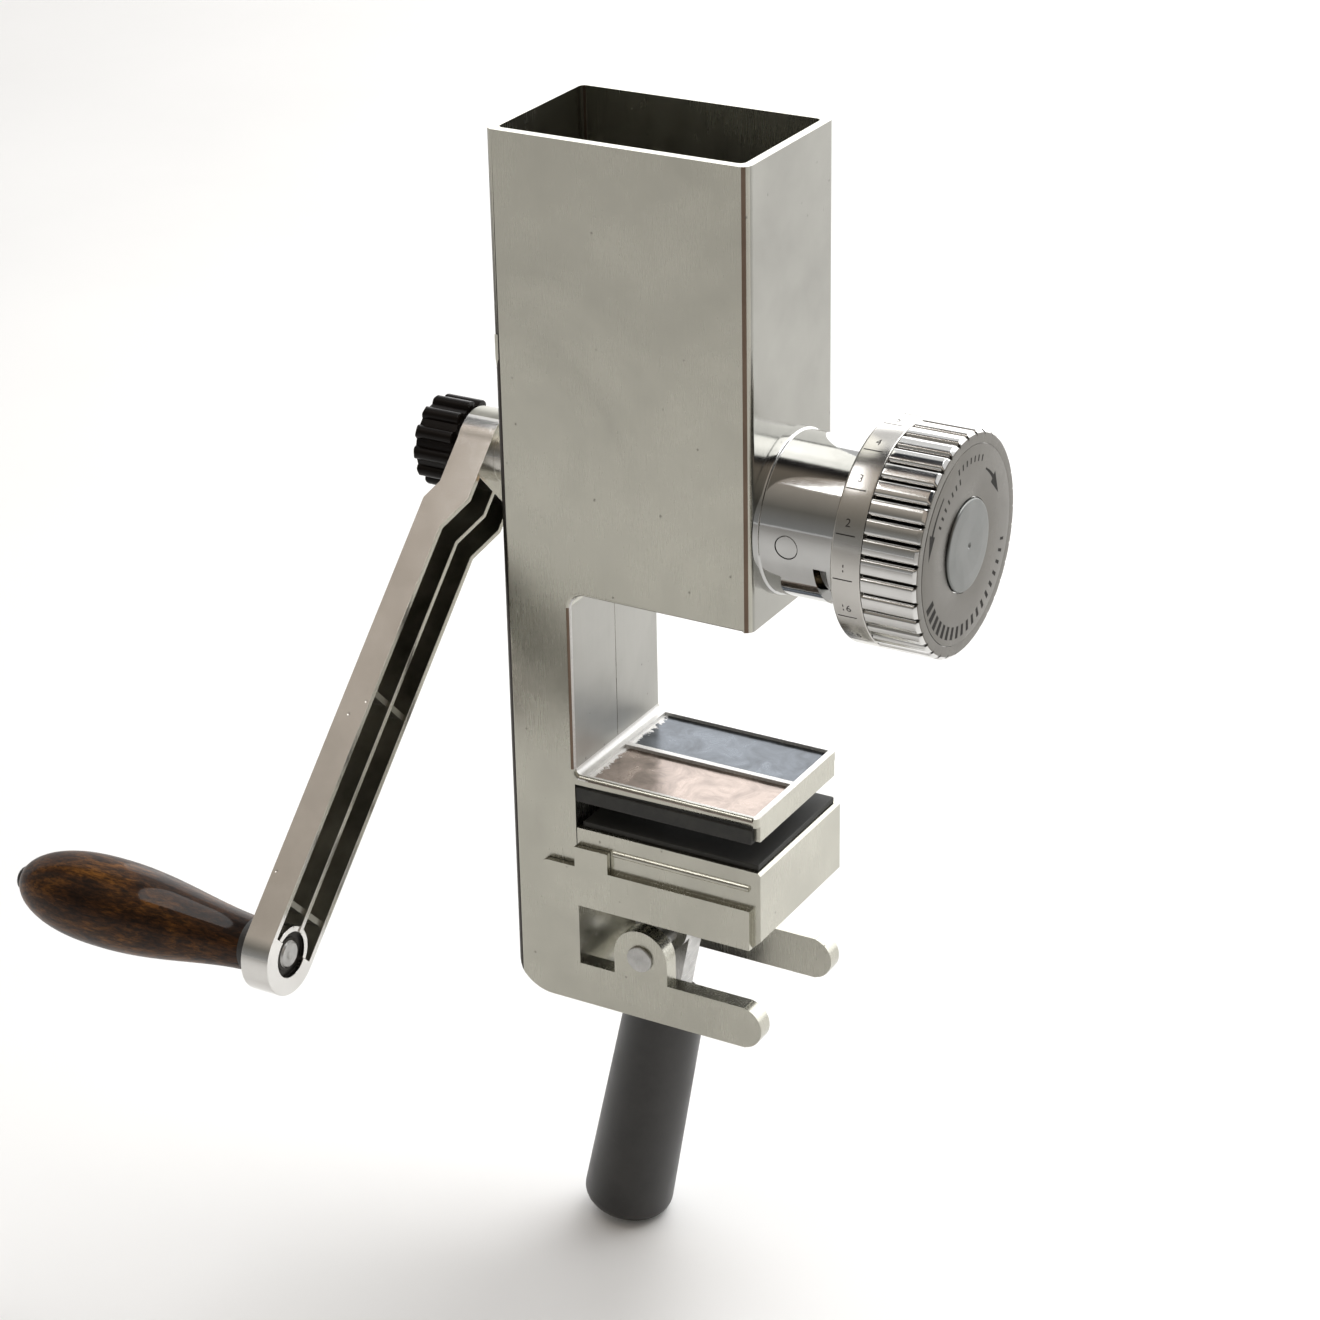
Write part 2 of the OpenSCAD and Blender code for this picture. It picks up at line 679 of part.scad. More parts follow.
housing();
rear_bushing();
rear_seal();
grinder_neck();
neck_lock_pins();
burr_ring();
front_bushing();
clamp_pad();
pivot_pin();
pivot_clip();
thrust_plug();
scale_ring();
adjusting_knob();
dial_plate();
hub_disc();
drive_shaft();
return_spring();
spring_washer();
feed_auger();
burr_cone();
burr_nut();
crank_arm();
crank_washer();
crank_nut();
grip_axle();
grip_washer();
wood_grip();
grip_end_cap();
lower_jaw();
wear_plate();
jaw_pad();
slide_block();
slide_screws();
lever_cam();
lever_grip();
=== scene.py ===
"""Looks of the hand-cranked grain mill: rebuilt visible meshes, procedural materials, studio and camera."""
import json
import math

import bmesh
import bpy
from mathutils import Matrix, Vector


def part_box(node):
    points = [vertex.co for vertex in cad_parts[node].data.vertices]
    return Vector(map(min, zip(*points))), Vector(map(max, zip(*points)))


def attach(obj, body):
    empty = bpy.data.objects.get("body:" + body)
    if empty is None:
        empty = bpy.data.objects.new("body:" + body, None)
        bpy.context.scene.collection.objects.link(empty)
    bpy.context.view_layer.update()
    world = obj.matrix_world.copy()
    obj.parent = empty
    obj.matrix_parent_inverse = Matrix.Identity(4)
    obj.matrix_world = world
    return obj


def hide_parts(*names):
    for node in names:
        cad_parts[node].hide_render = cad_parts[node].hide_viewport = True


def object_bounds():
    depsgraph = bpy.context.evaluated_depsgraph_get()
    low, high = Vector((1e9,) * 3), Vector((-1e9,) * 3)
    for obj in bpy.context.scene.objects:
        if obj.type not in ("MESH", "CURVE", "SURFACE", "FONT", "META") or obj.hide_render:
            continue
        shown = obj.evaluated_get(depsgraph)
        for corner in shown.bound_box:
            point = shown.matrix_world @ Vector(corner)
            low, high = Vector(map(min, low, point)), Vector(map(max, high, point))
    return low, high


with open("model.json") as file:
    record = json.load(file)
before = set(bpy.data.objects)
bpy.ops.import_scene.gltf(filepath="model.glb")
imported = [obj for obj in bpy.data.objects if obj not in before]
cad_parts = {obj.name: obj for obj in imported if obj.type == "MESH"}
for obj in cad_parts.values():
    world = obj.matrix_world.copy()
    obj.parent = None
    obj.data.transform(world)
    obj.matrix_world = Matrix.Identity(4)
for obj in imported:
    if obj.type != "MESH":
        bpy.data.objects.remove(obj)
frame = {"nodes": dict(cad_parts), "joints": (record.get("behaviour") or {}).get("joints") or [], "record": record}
cad_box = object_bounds()

MM = 0.001
JOINTS = {joint["name"]: joint for joint in frame["joints"]}
SHAFT = Vector(JOINTS["crank_turn"]["pos_m"])
GRIP_AXIS = Vector(JOINTS["grip_spin"]["pos_m"])
PIVOT = Vector(JOINTS["clamp_lever"]["pos_m"])
ARM = Vector((0, GRIP_AXIS.y - SHAFT.y, GRIP_AXIS.z - SHAFT.z))
ARM_TURN = math.atan2(ARM.y, -ARM.z)
LEVER_TILT = math.radians(11.4)


# ---------------------------------------------------------------- mesh helpers
def low(node):
    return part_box(node)[0]


def high(node):
    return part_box(node)[1]


def from_axis(point, centre):
    """Distance from the line along X through centre."""
    return math.hypot(point.y - centre.y, point.z - centre.z)


def rounded(points, steps=5):
    """Outline with its corners rounded; each point is (u, v) or (u, v, radius)."""
    made = []
    count = len(points)
    for i, point in enumerate(points):
        corner = Vector(point[:2])
        radius = point[2] if len(point) > 2 else 0
        if radius == 0:
            made.append(tuple(corner))
            continue
        to_last = (Vector(points[i - 1][:2]) - corner).normalized()
        to_next = (Vector(points[(i + 1) % count][:2]) - corner).normalized()
        half = to_last.angle(to_next) / 2
        start = corner + to_last * radius / math.tan(half)
        end = corner + to_next * radius / math.tan(half)
        centre = corner + (to_last + to_next).normalized() * radius / math.sin(half)
        first = math.atan2(*(start - centre).yx)
        sweep = math.atan2(*(end - centre).yx) - first
        sweep = (sweep + math.pi) % (2 * math.pi) - math.pi
        for k in range(steps + 1):
            angle = first + sweep * k / steps
            made.append((centre.x + radius * math.cos(angle), centre.y + radius * math.sin(angle)))
    return made


def finish_mesh(bm, name):
    bmesh.ops.remove_doubles(bm, verts=bm.verts, dist=1e-7)
    bmesh.ops.recalc_face_normals(bm, faces=bm.faces)
    mesh = bpy.data.meshes.new(name)
    bm.to_mesh(mesh)
    bm.free()
    made = bpy.data.objects.new(name, mesh)
    bpy.context.scene.collection.objects.link(made)
    return made


def lathe(name, outline, steps, centre=SHAFT, axis=None):
    """Turns a closed outline of (x, radius) points about +X, or about the X axis of a given matrix."""
    bm = bmesh.new()
    place = axis or Matrix.Identity(3)
    origin = Vector((0, centre.y, centre.z)) if axis is None else centre
    rings = []
    for x, radius in outline:
        if radius == 0:
            rings.append([bm.verts.new(origin + place @ Vector((x, 0, 0)))] * steps)
            continue
        rings.append([
            bm.verts.new(origin + place @ Vector((
                x, radius * math.cos(2 * math.pi * k / steps), radius * math.sin(2 * math.pi * k / steps))))
            for k in range(steps)
        ])
    for i, ring in enumerate(rings):
        after = rings[(i + 1) % len(rings)]
        for k in range(steps):
            corners = [ring[k], ring[(k + 1) % steps], after[(k + 1) % steps], after[k]]
            unique = list(dict.fromkeys(corners))
            if len(unique) > 2:
                bm.faces.new(unique)
    return finish_mesh(bm, name)


def slab(name, first_loop, second_loop):
    """The closed solid between two loops with the same number of points."""
    bm = bmesh.new()
    first, second = ([bm.verts.new(point) for point in loop] for loop in (first_loop, second_loop))
    bm.faces.new(first)
    bm.faces.new(second)
    for i in range(len(first)):
        k = (i + 1) % len(first)
        bm.faces.new((first[i], first[k], second[k], second[i]))
    return finish_mesh(bm, name)


def prism(name, outline, low_y, high_y):
    """Extrudes a closed X-Z outline across Y."""
    return slab(name, *([(x, y, z) for x, z in outline] for y in (low_y, high_y)))


def box_outline(x0, x1, z0, z1):
    return [(x0, z0), (x1, z0), (x1, z1), (x0, z1)]


def repaint(piece, material, chosen):
    """Gives the faces whose centre and normal satisfy chosen a further material."""
    piece.data.materials.append(material)
    index = len(piece.data.materials) - 1
    for face in piece.data.polygons:
        if chosen(face.center, face.normal):
            face.material_index = index


def modifier(piece, kind, **settings):
    made = piece.modifiers.new(kind.title(), kind)
    for key, value in settings.items():
        setattr(made, key, value)


def apply_modifiers(piece):
    """Replaces the mesh by the result of its modifiers."""
    graph = bpy.context.evaluated_depsgraph_get()
    mesh = bpy.data.meshes.new_from_object(piece.evaluated_get(graph))
    piece.modifiers.clear()
    piece.data = mesh


def combine(piece, other, operation):
    """Cuts or trims piece by another mesh, which is used up."""
    modifier(piece, "BOOLEAN", object=other, operation=operation, solver="EXACT")
    apply_modifiers(piece)
    bpy.data.objects.remove(other)


def smooth(piece, angle=40):
    """Shades smoothly, except across edges sharper than angle in degrees."""
    for face in piece.data.polygons:
        face.use_smooth = True
    piece.data.set_sharp_from_angle(angle=math.radians(angle))


def keep_flats_flat(piece):
    """Smooth shading whose normals follow the large faces."""
    smooth(piece)
    modifier(piece, "WEIGHTED_NORMAL", keep_sharp=True, weight=80)
    apply_modifiers(piece)


def soften(piece, width, angle):
    """Rounds the edges sharper than angle, by width in millimetres, and keeps the flats flat."""
    modifier(piece, "BEVEL", width=width * MM, segments=3, limit_method="ANGLE",
             angle_limit=math.radians(angle), miter_outer="MITER_ARC", harden_normals=False)
    apply_modifiers(piece)
    keep_flats_flat(piece)


def clean_copy(node, name):
    """A copy of a CAD solid with its flats merged."""
    source = frame["nodes"][node]
    made = bpy.data.objects.new(name, source.data.copy())
    bpy.context.scene.collection.objects.link(made)
    made.data.materials.clear()
    bm = bmesh.new()
    bm.from_mesh(made.data)
    bmesh.ops.remove_doubles(bm, verts=bm.verts, dist=2e-6)
    bmesh.ops.dissolve_limit(bm, angle_limit=math.radians(1.0), verts=bm.verts, edges=bm.edges,
                             delimit=set())
    bm.to_mesh(made.data)
    bm.free()
    return made


def dress(piece, body, material, node=None):
    """Gives a piece its finish and its body, and hides the CAD node that it stands for."""
    piece.data.materials.clear()
    piece.data.materials.append(material)
    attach(piece, body)
    if node:
        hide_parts(node)


def finish_from_cad(rows):
    """Finer copies of CAD solids: flats merged, edges rounded by the width in each row."""
    for node, body, slot, material, width in rows:
        piece = clean_copy(node, node + "_finished")
        soften(piece, width, 35)
        dress(piece, body, material, node)


# ---------------------------------------------------------------- materials
class Nodes:
    """A short way to write the nodes of a material or a world."""

    def __init__(self, owner, coordinates="Object"):
        owner.use_nodes = True
        self.owner = owner
        self.tree = owner.node_tree
        self.place = self.add("ShaderNodeTexCoord").outputs[coordinates]

    def add(self, kind, inputs=None, **settings):
        node = self.tree.nodes.new(kind)
        for key, value in settings.items():
            setattr(node, key, value)
        for key, value in (inputs or {}).items():
            self.put(node.inputs[key], value)
        return node

    def put(self, socket, value):
        if isinstance(value, bpy.types.NodeSocket):
            self.tree.links.new(value, socket)
        else:
            socket.default_value = value

    def stretched(self, factors):
        """Object coordinates in millimetres, times a factor for each axis."""
        scale = [f / MM for f in factors]
        return self.add("ShaderNodeMapping", {"Vector": self.place, "Scale": scale}).outputs[0]

    def noise(self, scale, factors=(1, 1, 1), detail=4, rough=0.55, twist=0):
        made = self.add("ShaderNodeTexNoise", {
            "Vector": self.stretched(factors), "Scale": scale, "Detail": detail,
            "Roughness": rough, "Distortion": twist})
        return made.outputs["Fac"]

    def ramp(self, value, *stops):
        """Colours by value; each stop is a position with a colour or a grey."""
        made = self.add("ShaderNodeValToRGB", {"Fac": value})
        elements = made.color_ramp.elements
        while len(elements) < len(stops):
            elements.new(0.5)
        for element, (place, colour) in zip(elements, stops):
            element.position = place
            element.color = (*colour, 1) if hasattr(colour, "__len__") else (colour, colour, colour, 1)
        return made.outputs["Color"]

    def span(self, value, low_value, high_value, start=0.3, end=0.7):
        """Maps start to end onto the low to the high value, and clamps."""
        made = self.add("ShaderNodeMapRange", {
            "Value": value, "From Min": start, "From Max": end, "To Min": low_value, "To Max": high_value})
        return made.outputs[0]

    def math(self, operation, a, b=0.0):
        made = self.add("ShaderNodeMath", operation=operation)
        self.put(made.inputs[0], a)
        self.put(made.inputs[1], b)
        return made.outputs[0]

    def mix(self, factor, a, b, blend="MIX"):
        made = self.add("ShaderNodeMix", data_type="RGBA", blend_type=blend)
        self.put(made.inputs["Factor"], factor)
        for socket, value in zip(("A", "B"), (a, b)):
            target = [s for s in made.inputs if s.name == socket and s.type == "RGBA"][0]
            self.put(target, value if isinstance(value, bpy.types.NodeSocket) else (*value, 1))
        return [s for s in made.outputs if s.type == "RGBA"][0]

    def bump(self, height, distance, strength=1.0, normal=None):
        made = self.add("ShaderNodeBump", {
            "Height": height, "Distance": distance * MM, "Strength": strength})
        if normal is not None:
            self.put(made.inputs["Normal"], normal)
        return made.outputs[0]

    def surface(self, **inputs):
        """Sets the shader's inputs and gives the finished material."""
        shader = self.tree.nodes["Principled BSDF"]
        for key, value in inputs.items():
            self.put(shader.inputs[key.replace("_", " ")], value)
        return self.owner


def new_material(name):
    return Nodes(bpy.data.materials.new(name))


def cast_metal(name, light, dark, rough, brush=(1, 1, 0.03), pits=0.5):
    """Die-cast metal after polishing: cloudy tone, fine directional scratches and a few pits."""
    n = new_material(name)
    cloud = n.noise(0.035, detail=5, rough=0.6)
    fine = n.noise(0.45, detail=3)
    lines = n.noise(2.2, brush, detail=2)
    tone = n.mix(n.span(cloud, 0, 1), dark, light)
    stain = n.ramp(n.noise(0.012, twist=1.5), (0.45, 1.0), (0.75, 0.86))
    tone = n.mix(1.0, tone, stain, "MULTIPLY")
    speck = n.add("ShaderNodeTexVoronoi", {"Vector": n.stretched((1, 1, 1)), "Scale": 0.11})
    pit = n.span(speck.outputs["Distance"], 1, 0, 0.03, 0.06)
    tone = n.mix(n.math("MULTIPLY", pit, pits), tone, (0.12, 0.11, 0.1))
    gloss = n.math("ADD", n.span(cloud, rough * 0.8, rough * 1.15), n.span(lines, -0.02, 0.03))
    normal = n.bump(fine, 0.018, 0.5)
    normal = n.bump(lines, 0.002, 0.5, normal)
    normal = n.bump(n.math("SUBTRACT", 1.0, pit), 0.12, 0.5, normal)
    return n.surface(Base_Color=tone, Metallic=1.0, Roughness=gloss, Normal=normal)


def tray_metal(name, near, far, start_x):
    """Cloudy tray floor with a painted reflection, warmer on the near side of the rib, and a bright painted
    highlight beside the column.
    """
    n = new_material(name)
    place = n.add("ShaderNodeSeparateXYZ", {"Vector": n.place}).outputs
    side = n.span(place["Y"], 0, 1, -0.001, 0.001)
    cloud = n.noise(0.09, (1, 1, 1), detail=6, rough=0.65, twist=1.2)
    marks = n.ramp(cloud, (0.3, 0.6), (0.5, 0.95), (0.68, 1.35))
    tone = n.mix(1.0, n.mix(side, near, far), marks, "MULTIPLY")
    ragged = n.math("MULTIPLY", n.noise(0.35, detail=5, rough=0.7), 9 * MM)
    highlight_band = n.span(n.math("ADD", place["X"], ragged), 1, 0, start_x + 9 * MM, start_x + 10 * MM)
    tone = n.mix(highlight_band, tone, (0.88, 0.87, 0.85))
    return n.surface(Base_Color=tone, Metallic=n.span(highlight_band, 1.0, 0.3, 0, 1), Normal=n.bump(cloud, 0.12, 0.5),
                     Roughness=n.math("ADD", n.span(cloud, 0.16, 0.3), n.math("MULTIPLY", highlight_band, 0.2)))


def bright_edge(name, colour):
    """Pale edges, their colour a painted highlight, with a rough, sparkling skin."""
    n = new_material(name)
    grain = n.noise(1.3, detail=5, rough=0.7)
    tone = n.mix(n.span(grain, 0, 1), [c * 0.8 for c in colour], colour)
    return n.surface(Base_Color=tone, Metallic=0.4, Roughness=n.span(grain, 0.3, 0.5),
                     Normal=n.bump(grain, 0.06, 0.6))


def polished_metal(name, colour, rough, smudge=0.08):
    """Plated metal: clear reflections with faint smears and hairlines."""
    n = new_material(name)
    smear = n.noise(0.06, twist=0.8, detail=6)
    hair = n.noise(3.0, (0.05, 1, 1), detail=2)
    tone = n.mix(n.span(smear, 0, 1), colour, [c * 0.9 for c in colour])
    gloss = n.math("ADD", n.span(smear, rough, rough + smudge), n.span(hair, -0.01, 0.03))
    normal = n.bump(n.noise(0.25, detail=2), 0.012, 0.4)
    normal = n.bump(hair, 0.002, 0.5, normal)
    return n.surface(Base_Color=tone, Metallic=1.0, Roughness=gloss, Normal=normal)


def turned_metal(name, colour, rough):
    """Machined steel or bronze with tool marks round the shaft and oil-dark spots."""
    n = new_material(name)
    marks = n.noise(3.5, (1, 0.05, 0.05), detail=2)
    cloud = n.noise(0.2, detail=4)
    tone = n.mix(n.span(cloud, 0, 1), colour, [c * 0.72 for c in colour])
    return n.surface(Base_Color=tone, Metallic=1.0, Roughness=n.span(marks, rough * 0.8, rough * 1.3),
                     Normal=n.bump(marks, 0.02, 0.6))


def moulded_plastic(name, colour, rough, grain=0.6, coat=0.0, shine=0.5):
    """Moulded plastic: fine skin texture, dust-light wear and uneven gloss."""
    n = new_material(name)
    skin = n.noise(1.6, detail=3)
    cloud = n.noise(0.07, detail=5)
    tone = n.mix(n.span(cloud, 0, 1), colour, [min(1, c * 1.8 + 0.002) for c in colour])
    speck = n.ramp(n.noise(0.9, detail=6, rough=0.7), (0.66, 0.0), (0.74, 1.0))
    tone = n.mix(n.math("MULTIPLY", speck, 0.16), tone, (0.2, 0.19, 0.17))
    gloss = n.span(cloud, rough * 0.85, rough * 1.2)
    return n.surface(Base_Color=tone, Roughness=gloss, Normal=n.bump(skin, 0.03, grain), Coat_Weight=coat,
                     Coat_Roughness=0.15, Specular_IOR_Level=shine)


def soft_rubber(name):
    """Matt rubber with a fine skin and some dust."""
    n = new_material(name)
    skin = n.noise(2.4, detail=5)
    dust = n.noise(0.1, detail=6, rough=0.7)
    tone = n.mix(n.span(dust, 0, 1, 0.45, 0.75), (0.022, 0.022, 0.02), (0.05, 0.049, 0.044))
    return n.surface(Base_Color=tone, Roughness=n.span(dust, 0.55, 0.75), Normal=n.bump(skin, 0.05, 0.7))


def varnished_wood(name):
    """Dark varnished wood, with short flecks along the grip."""
    n = new_material(name)
    figure = n.noise(0.11, (0.35, 1, 1), detail=6, rough=0.65, twist=0.8)
    flecks = n.noise(0.75, (0.28, 1, 1), detail=4, rough=0.7, twist=0.5)
    pores = n.noise(1.7, (0.12, 1, 1), detail=3, rough=0.7)
    tone = n.ramp(figure, (0.3, (0.014, 0.005, 0.002)), (0.5, (0.05, 0.018, 0.004)),
                  (0.72, (0.19, 0.075, 0.013)))
    specks = n.ramp(flecks, (0.38, 0.22), (0.5, 0.8), (0.62, 1.5))
    tone = n.mix(0.85, tone, specks, "MULTIPLY")
    lines = n.ramp(pores, (0.36, 0.25), (0.5, 1.0))
    tone = n.mix(0.7, tone, lines, "MULTIPLY")
    normal = n.bump(pores, 0.035, 0.5)
    return n.surface(Base_Color=tone, Roughness=n.span(figure, 0.5, 0.38), Normal=normal, Coat_Weight=0.22,
                     Coat_Roughness=0.05, Specular_IOR_Level=0.08)


def felt(name):
    """Matted dark fibres."""
    n = new_material(name)
    fibre = n.noise(3.0, detail=6, rough=0.8)
    return n.surface(Base_Color=n.ramp(fibre, (0.3, (0.03, 0.027, 0.024)), (0.7, (0.09, 0.085, 0.08))),
                     Roughness=0.95, Normal=n.bump(fibre, 0.2, 0.8))


def ink(name, colour):
    """Printed or stained marks, slightly worn."""
    n = new_material(name)
    wear = n.noise(1.2, detail=5)
    return n.surface(Base_Color=n.mix(n.span(wear, 0, 0.2), colour, (0.1, 0.095, 0.09)), Roughness=0.6,
                     Specular_IOR_Level=0.1, Normal=n.bump(wear, 0.02, 0.3))


COLUMN_X = low("clamp_pad").x
BODY = cast_metal("satin_cast_aluminium", (0.55, 0.538, 0.47), (0.465, 0.455, 0.398), 0.26)
# The front face: the body's cast metal in a darker colour that is painted shade.
FRONT = cast_metal("satin_front_face_painted_shade", (0.355, 0.351, 0.322), (0.295, 0.291, 0.267), 0.16)
THROAT = cast_metal("dull_throat_wall", (0.5, 0.495, 0.465), (0.42, 0.415, 0.39), 0.5)
# Painted shade on the housing's rounded edges: dark at the near rear, brown on the near front corner and in the
# throat.
EDGE_SHADE = cast_metal("dark_edge_painted_shade", (0.06, 0.052, 0.046), (0.03, 0.026, 0.024), 0.4)
CORNER_SHADE = cast_metal("brown_edge_painted_shade", (0.2, 0.145, 0.108), (0.14, 0.1, 0.075), 0.35)
# The tray floor's warm near half and dark far half are a painted reflection; its ragged bright band beside the
# column is a painted highlight.
TRAY_FLOOR = tray_metal("cloudy_tray_floor_painted_reflection", (0.31, 0.256, 0.226), (0.105, 0.116, 0.131), COLUMN_X)
# Pale colour on the tray's rim and the throat's edges: a painted highlight.
TRAY_EDGE = bright_edge("tray_edge_painted_highlight", (0.86, 0.85, 0.83))
ARM_METAL = cast_metal("polished_cast_aluminium", (0.8, 0.79, 0.765), (0.68, 0.665, 0.635), 0.15, pits=0.25)
# The arm's channel: as-cast metal darkened with painted shade.
ARM_CHANNEL = cast_metal("as_cast_channel_painted_shade", (0.4, 0.39, 0.34), (0.16, 0.156, 0.135), 0.38, pits=0.3)
CHROME = polished_metal("polished_plate", (0.72, 0.715, 0.7), 0.06)
NECK_METAL = polished_metal("polished_neck", (0.53, 0.53, 0.52), 0.035, smudge=0.05)
# Painted shade for grooves and recesses: the knob's flutes, the recess round the grip's rivet and the rim of its
# head.
GROOVE_SHADE = polished_metal("painted_groove_shade", (0.05, 0.047, 0.043), 0.3)
SATIN_CHROME = polished_metal("satin_ring_plate", (0.6, 0.585, 0.555), 0.16)
DIAL = polished_metal("satin_dial_plate", (0.155, 0.147, 0.131), 0.24)
HUB = polished_metal("satin_hub_plate", (0.195, 0.2, 0.193), 0.28)
STEEL = turned_metal("turned_steel", (0.56, 0.555, 0.54), 0.3)
BRONZE = turned_metal("sintered_bronze", (0.5, 0.34, 0.17), 0.42)
BLACK = moulded_plastic("black_moulding", (0.02, 0.019, 0.018), 0.42)
BROWN = moulded_plastic("dark_brown_moulding", (0.004, 0.0025, 0.0018), 0.3, grain=0.2,
                        coat=0.2, shine=0.05)
RUBBER = soft_rubber("black_rubber")
WOOD = varnished_wood("varnished_wood")
FELT = felt("seal_felt")
INK = ink("dark_ink", (0.02, 0.018, 0.016))


# ---------------------------------------------------------------- housing and clamp
def bevel_where(piece, chosen, width):
    """Rounds only the edges whose two ends satisfy chosen, by width in millimetres."""
    bm = bmesh.new()
    bm.from_mesh(piece.data)
    sharp = [edge for edge in bm.edges if not edge.smooth or edge.calc_face_angle(0) > 0.5]
    edges = [edge for edge in sharp if all(chosen(vertex.co) for vertex in edge.verts)]
    bmesh.ops.bevel(bm, geom=edges, offset=width * MM, offset_type="OFFSET", segments=4,
                    profile=0.5, affect="EDGES", clamp_overlap=False)
    bm.to_mesh(piece.data)
    bm.free()


TRAY_FLOOR_Z = 8.2 * MM
TRAY_RIM_Z = 8.7 * MM
TRAY_TOP_Z = 11.5 * MM
THROAT_TOP_Z = 76 * MM


def in_throat_edge(point):
    """True on the outline of the throat's opening in both side faces."""
    near = 0.1 * MM
    on_side = abs(abs(point.y) - high("housing").y) <= near
    return on_side and point.x >= COLUMN_X - near and 6 * MM < point.z < THROAT_TOP_Z


def cut_parting_lines(housing):
    """Thin grooves left by the casting mould on the mid-plane."""
    depth = 0.22 * MM
    half = 0.18 * MM
    for x, z0, z1 in ((COLUMN_X, 12, 69), (high("housing").x, 1, 9)):
        outline = box_outline(x - depth, x + 2 * MM, z0 * MM, z1 * MM)
        combine(housing, prism("groove", outline, -half, half), "DIFFERENCE")


def paint_faces(housing):
    """The tray, with a painted reflection and highlight on its floor and a painted highlight on its rim, and the
    finish of the front, darkened with painted shade, and of the throat's wall.
    """
    tray_half = 27 * MM
    front_low = 70 * MM
    front_back = 20 * MM
    forward = 0.9
    repaint(housing, TRAY_FLOOR, lambda at, way: at.x > COLUMN_X and TRAY_FLOOR_Z < at.z < TRAY_RIM_Z)
    repaint(housing, TRAY_EDGE, lambda at, way: at.x > COLUMN_X - MM and abs(at.y) < tray_half
            and TRAY_RIM_Z < at.z < TRAY_TOP_Z)
    repaint(housing, FRONT, lambda at, way: way.x > forward and at.z > front_low and at.x > front_back)
    repaint(housing, THROAT, lambda at, way: way.x > forward and at.x < 0
            and TRAY_TOP_Z < at.z < front_low)


def paint_edges(housing):
    """Painted light on the edges: dark shade at the near rear, brown shade on the near front corner, brown shade
    and a bright highlight in the throat.
    """
    dark_top = 190 * MM
    low_z = 14 * MM
    brown_z = 69 * MM
    bright_z = 74 * MM
    beside = 3 * MM
    repaint(housing, EDGE_SHADE, lambda at, way: way.x < -0.2 and way.y < -0.2 and at.z < dark_top)
    repaint(housing, CORNER_SHADE, lambda at, way: 0.3 < way.x < 0.62 and way.y < -0.6
            and at.z > THROAT_TOP_Z)
    repaint(housing, CORNER_SHADE, lambda at, way: abs(at.x - COLUMN_X) < beside and way.y < -0.5
            and 0.12 < way.x < 0.66 and low_z < at.z < brown_z)
    repaint(housing, TRAY_EDGE, lambda at, way: abs(at.x - COLUMN_X) < beside and way.y < -0.12
            and 0.66 < way.x < 0.99 and low_z < at.z < bright_z)


def make_housing():
    housing = clean_copy("housing", "mill_housing")
    bevel_where(housing, in_throat_edge, 1.3)
    soften(housing, 0.4, 40)
    cut_parting_lines(housing)
    keep_flats_flat(housing)
    dress(housing, "frame", BODY, "housing")
    paint_faces(housing)
    paint_edges(housing)


def make_clamp():
    finish_from_cad((
        ("clamp_pad", "frame", "rubber", RUBBER, 0.5),
        ("jaw_pad", "jaw", "rubber", RUBBER, 0.4),
        ("lower_jaw", "jaw", "cast_aluminium", BODY, 0.4),
        ("wear_plate", "jaw", "steel", STEEL, 0.3),
        ("slide_block", "jaw", "steel", STEEL, 0.4),
        ("slide_screws", "jaw", "steel", STEEL, 0.3),
        ("pivot_pin", "frame", "steel", STEEL, 0.4),
        ("pivot_clip", "frame", "steel", STEEL, 0.15),
        ("lever_cam", "lever", "steel", STEEL, 0.4),
    ))


def make_lever_grip():
    """The black sleeve on the clamp lever, turned about the lever's own line from the pivot."""
    length = (PIVOT.z - low("lever_grip").z) / math.cos(LEVER_TILT) - 2.4 * MM
    turn = Matrix.Rotation(math.pi / 2 + LEVER_TILT, 3, "Y")
    start = 31 * MM
    bore = 5.2 * MM
    top = 13.5 * MM
    big = 15.8 * MM
    dimple = 0.7 * MM
    bore_end = length - 9 * MM
    outline = rounded([
        (start, bore), (start, top, 1.6 * MM), (start + 7 * MM, top + 0.35 * MM),
        (length, big, 5 * MM), (length, 7 * MM, 1 * MM), (length - dimple, 6.4 * MM, 0.4 * MM),
        (length - dimple, 0), (bore_end, 0), (bore_end, bore)], 8)
    grip = lathe("lever_grip_moulding", outline, 96, PIVOT, turn)
    smooth(grip)
    dress(grip, "lever", BLACK, "lever_grip")


# ---------------------------------------------------------------- grinding head
NECK_RADIUS = 26 * MM
NECK_BORE = 22.4 * MM


def neck_outline(slot_end):
    """Half section of the tube: a collar at the wall and a thin line beyond the slot."""
    x0 = low("grinder_neck").x
    x1 = high("grinder_neck").x
    wall_x = 33 * MM
    inner = NECK_BORE + 0.6 * MM
    collar = NECK_RADIUS + 0.7 * MM
    line = NECK_RADIUS - 0.2 * MM
    return rounded([
        (x0, inner), (wall_x, inner), (wall_x, collar),
        (wall_x + 1.6 * MM, collar, 0.6 * MM), (wall_x + 2 * MM, NECK_RADIUS, 0.2 * MM),
        (slot_end + 2.2 * MM, NECK_RADIUS), (slot_end + 2.4 * MM, line),
        (slot_end + 2.8 * MM, line), (slot_end + 3 * MM, NECK_RADIUS),
        (x1, NECK_RADIUS, 0.5 * MM), (x1, NECK_BORE, 0.5 * MM), (x0, NECK_BORE)])


